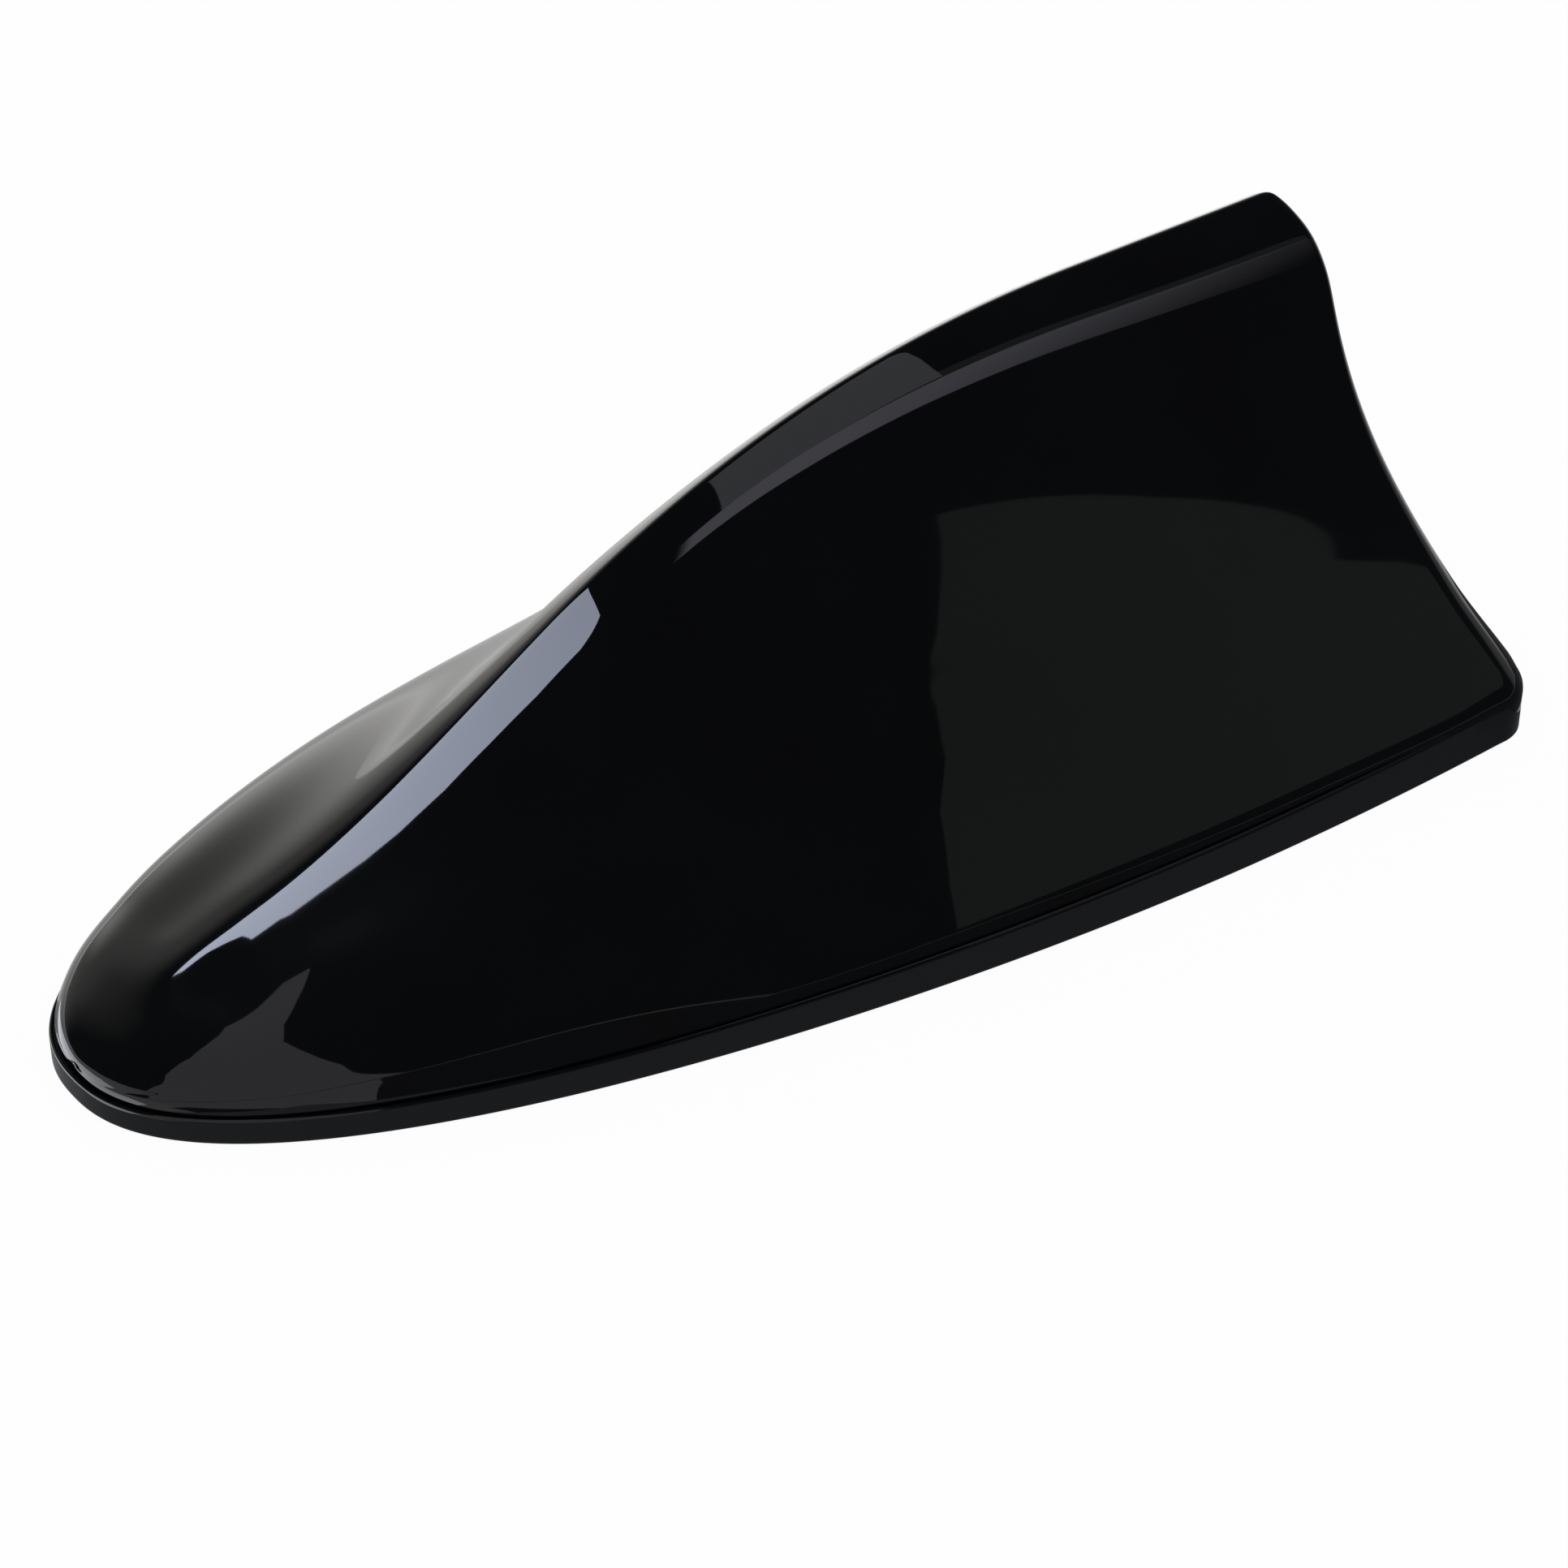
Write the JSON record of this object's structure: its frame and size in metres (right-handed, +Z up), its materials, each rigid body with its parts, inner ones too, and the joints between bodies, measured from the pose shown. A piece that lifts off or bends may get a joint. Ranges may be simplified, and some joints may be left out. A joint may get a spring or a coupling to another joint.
{
  "type": "shark fin aerial",
  "caption": "Gloss black shark fin roof aerial for a car: a hollow finned cover snapped over a base plate with amplifier board, coil and top plate, stuck to the roof over the aerial stud.",
  "frame": {"origin": "on the roof plane, under the middle of the cover", "axes": "+Z up from the roof, the nose points along -Y and the tail along +Y, X across the car"},
  "size_m": [0.0756, 0.165, 0.0541],
  "materials": {
    "cover": "gloss clear-coated black paint",
    "base_plate": "moulded, fine grain",
    "gasket": "matt",
    "adhesive_pad": "matt foam",
    "adapter": "turned",
    "fasteners": "zinc plated",
    "contact_spring": "rolled strip",
    "circuit_board": "solder resist",
    "shield": "tin plated",
    "chip": "moulded",
    "capacitors": "fired",
    "inductor": "ferrite",
    "coil_former": "moulded",
    "coil": "enamelled copper wire",
    "solder_pins": "tinned",
    "top_plate": "rolled sheet",
    "foam_block": "matt foam"
  },
  "bodies": {
    "root": {"cover": "cover", "base_plate": "base_plate", "gasket": "gasket", "adhesive_pad": "adhesive_pad", "adapter": "adapter", "lock_washer": "fasteners", "adapter_nut": "fasteners", "contact_spring": "contact_spring", "circuit_board": "circuit_board", "board_screws": "fasteners", "shield_frame": "shield", "shield_lid": "shield", "amplifier_chip": "chip", "chip_capacitors": "capacitors", "input_inductor": "inductor", "coil_former": "coil_former", "coil": "coil", "solder_pins": "solder_pins", "top_plate": "top_plate", "foam_block": "foam_block"}
  },
  "joints": []
}
